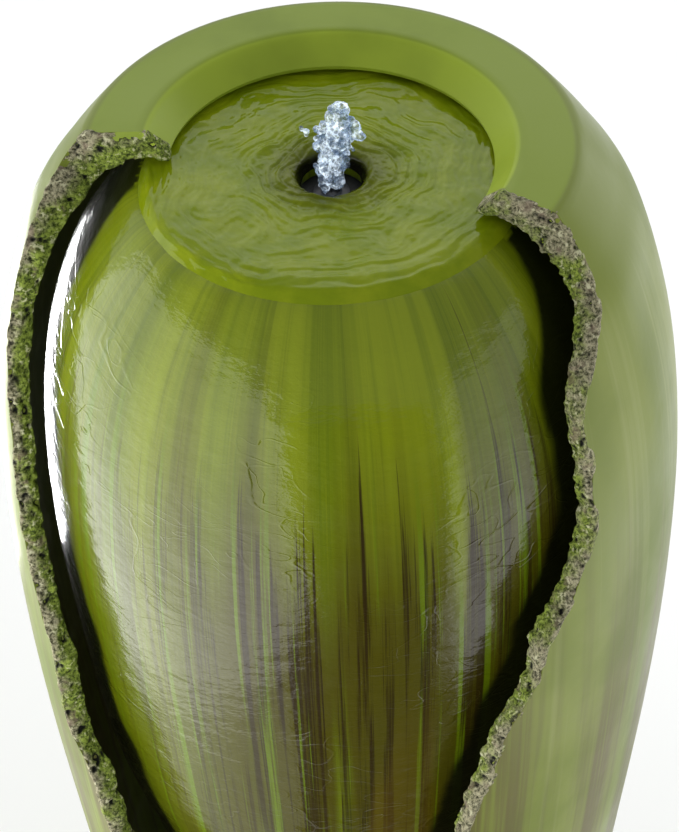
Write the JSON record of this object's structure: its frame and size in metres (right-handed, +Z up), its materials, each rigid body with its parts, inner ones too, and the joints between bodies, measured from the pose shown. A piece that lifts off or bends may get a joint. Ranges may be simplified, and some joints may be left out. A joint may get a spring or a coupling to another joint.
{
  "type": "urn water fountain",
  "caption": "Garden urn water fountain: a torn-open glazed shell round a glossy inner vase, with a lit bubbler in a shallow pool on top, a pump in the foot and a rear service hatch.",
  "frame": {"origin": "centre of the shell's flat underside, on the ground", "axes": "+Z up along the urn's axis, front with the torn opening towards -Y, rear hatch towards +Y"},
  "size_m": [0.3992, 0.3796, 0.845],
  "materials": {
    "shell_glaze": "satin sage glaze with brown runs, rough bare body at the torn edges",
    "vase_glaze": "glossy wet olive glaze with brown runs towards the foot",
    "cast_resin": "matt bonded body",
    "seal_rubber": "matt",
    "black_plastic": "moulded, lightly textured",
    "grey_plastic": "moulded",
    "clear_lens": "clear ribbed lens",
    "led_epoxy": "clear warm white lamp epoxy",
    "lamp_board": "white solder mask",
    "brass": "turned, lightly tarnished",
    "steel": "brushed stainless",
    "magnet": "sintered ferrite",
    "shaft_ceramic": "polished white ceramic",
    "clear_vinyl": "translucent vinyl tube",
    "filter_foam": "open cell foam",
    "water": "running water on the disc and the vase"
  },
  "bodies": {
    "fountain": {"outer_shell": "shell_glaze", "inner_vase": "vase_glaze", "vase_stand": "vase_glaze", "pool_plate": "vase_glaze", "vase_spacer_1": "cast_resin", "vase_spacer_2": "cast_resin", "vase_spacer_3": "cast_resin", "cord_gland": "seal_rubber", "gland_nut": "grey_plastic", "drain_bush": "grey_plastic", "lamp_housing": "black_plastic", "lamp_sleeve": "seal_rubber", "lamp_board": "lamp_board", "lamp_led_1": "led_epoxy", "lamp_led_2": "led_epoxy", "lamp_led_3": "led_epoxy", "lamp_led_4": "led_epoxy", "lamp_led_5": "led_epoxy", "lamp_led_6": "led_epoxy", "lamp_lens": "clear_lens", "bubbler_nozzle": "black_plastic", "riser_tube": "clear_vinyl", "hose_clamp_1": "steel", "hose_clamp_2": "steel", "lamp_lead": "seal_rubber", "lead_tie_1": "black_plastic", "lead_tie_2": "black_plastic", "lead_tie_3": "black_plastic", "pump_housing": "black_plastic", "chamber_seal": "seal_rubber", "outlet_spout": "black_plastic", "chamber_cover": "black_plastic", "front_bush": "seal_rubber", "rear_bush": "seal_rubber", "impeller_shaft": "shaft_ceramic", "suction_cup_1": "seal_rubber", "suction_cup_2": "seal_rubber", "suction_cup_3": "seal_rubber", "suction_cup_4": "seal_rubber"},
    "hatch": {"rear_hatch": "shell_glaze", "hatch_seal": "seal_rubber", "hatch_knob": "brass", "hatch_knob_screw": "steel"},
    "drain_stopper": {"drain_plug": "seal_rubber"},
    "rotor": {"impeller": "grey_plastic", "rotor_magnet": "magnet"},
    "intake": {"intake_cover": "grey_plastic", "filter_sponge": "filter_foam"},
    "dial": {"flow_dial": "black_plastic"}
  },
  "joints": [
    {"name": "hatch_pull", "type": "slide", "parent": "fountain", "child": "hatch", "axis": [0, 1, 0], "range_m": [0, 0.06]},
    {"name": "drain_plug_pull", "type": "slide", "parent": "fountain", "child": "drain_stopper", "axis": [0, 1, 0], "range_m": [0, 0.03]},
    {"name": "impeller_spin", "type": "hinge", "parent": "fountain", "child": "rotor", "pos_m": [0, 0, 0.053], "axis": [0, 1, 0], "continuous": true},
    {"name": "intake_pull", "type": "slide", "parent": "fountain", "child": "intake", "axis": [0, -1, 0], "range_m": [0, 0.022]},
    {"name": "flow_dial_turn", "type": "hinge", "parent": "intake", "child": "dial", "pos_m": [0, -0.05, 0.053], "axis": [0, -1, 0], "range_deg": [-90, 90]}
  ]
}
